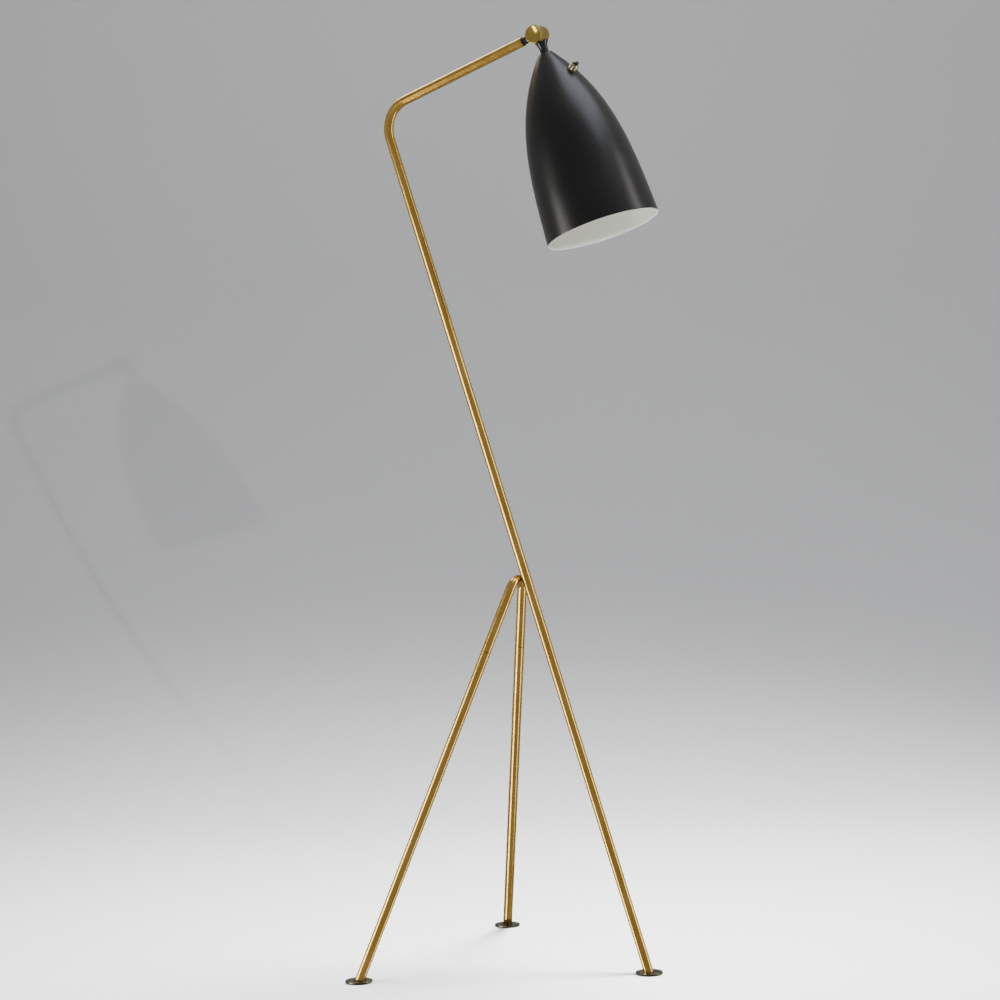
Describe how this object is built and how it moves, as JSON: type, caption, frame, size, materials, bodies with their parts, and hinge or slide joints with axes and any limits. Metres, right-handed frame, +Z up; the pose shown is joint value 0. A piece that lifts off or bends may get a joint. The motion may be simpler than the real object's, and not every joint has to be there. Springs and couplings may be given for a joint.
{
  "type": "tripod floor lamp",
  "caption": "Slender brass floor lamp: a leaning bent stem with a hairpin pair of rear legs, and a black bullet shade that tilts on a knuckle at the arm's end.",
  "frame": {"origin": "on the floor under the middle of the lamp's bounding box", "axes": "+X from the rear legs towards the front foot and the shade, +Y to the left of someone looking along +X, +Z up"},
  "size_m": [0.4016, 0.4266, 1.2501],
  "materials": {
    "satin_brass": "satin, brushed round the tube, lacquered",
    "polished_brass": "polished and lacquered",
    "bronze_disc": "dark antique finish, satin",
    "bright_steel": "turned, zinc plated",
    "pad_rubber": "matte",
    "shade_paint": "satin black outside, off-white inside",
    "black_casting": "satin black",
    "black_phenolic": "moulded, dull",
    "black_phenolic_gloss": "moulded, glossy",
    "holder_ceramic": "unglazed",
    "contact_brass": "stamped, bright",
    "cap_aluminium": "rolled",
    "bulb_glass": "frosted",
    "lead_jacket": "smooth jacket"
  },
  "bodies": {
    "stand": {"stem_tube": "satin_brass", "leg_yoke": "satin_brass", "leg_left": "satin_brass", "leg_right": "satin_brass", "yoke_weld": "satin_brass", "knuckle_cap": "polished_brass", "arm_eye": "polished_brass", "knuckle_nut": "polished_brass", "foot_disc_front": "bronze_disc", "foot_disc_left": "bronze_disc", "foot_disc_right": "bronze_disc", "stud_left": "bright_steel", "stud_right": "bright_steel", "arm_plug": "bright_steel", "pivot_tube": "bright_steel", "friction_washer": "bright_steel", "foot_pad_front": "pad_rubber", "foot_pad_left": "pad_rubber", "foot_pad_right": "pad_rubber", "cord_gland": "pad_rubber", "arm_collar": "black_casting", "lead_stem": "lead_jacket"},
    "head": {"head_eye": "polished_brass", "neck": "black_casting", "nipple": "bright_steel", "shade": "shade_paint", "lock_nut": "bright_steel", "holder_shell": "black_phenolic", "holder_base": "holder_ceramic", "holder_contact": "contact_brass", "holder_screw": "contact_brass", "bulb_cap": "cap_aluminium", "bulb_glass": "bulb_glass", "switch_body": "black_phenolic", "switch_nut": "polished_brass", "toggle_pin": "bright_steel", "lead_head": "lead_jacket"},
    "toggle": {"switch_toggle": "black_phenolic_gloss"}
  },
  "joints": [
    {"name": "shade_tilt", "type": "hinge", "parent": "stand", "child": "head", "pos_m": [0.04036, 0, 1.23793], "axis": [0, 1, 0], "range_deg": [-60, 15]},
    {"name": "toggle_throw", "type": "hinge", "parent": "head", "child": "toggle", "pos_m": [0.09532, -0.00297, 1.19108], "axis": [0.229, 0.9703, 0.0781], "range_deg": [-26, 0]}
  ]
}
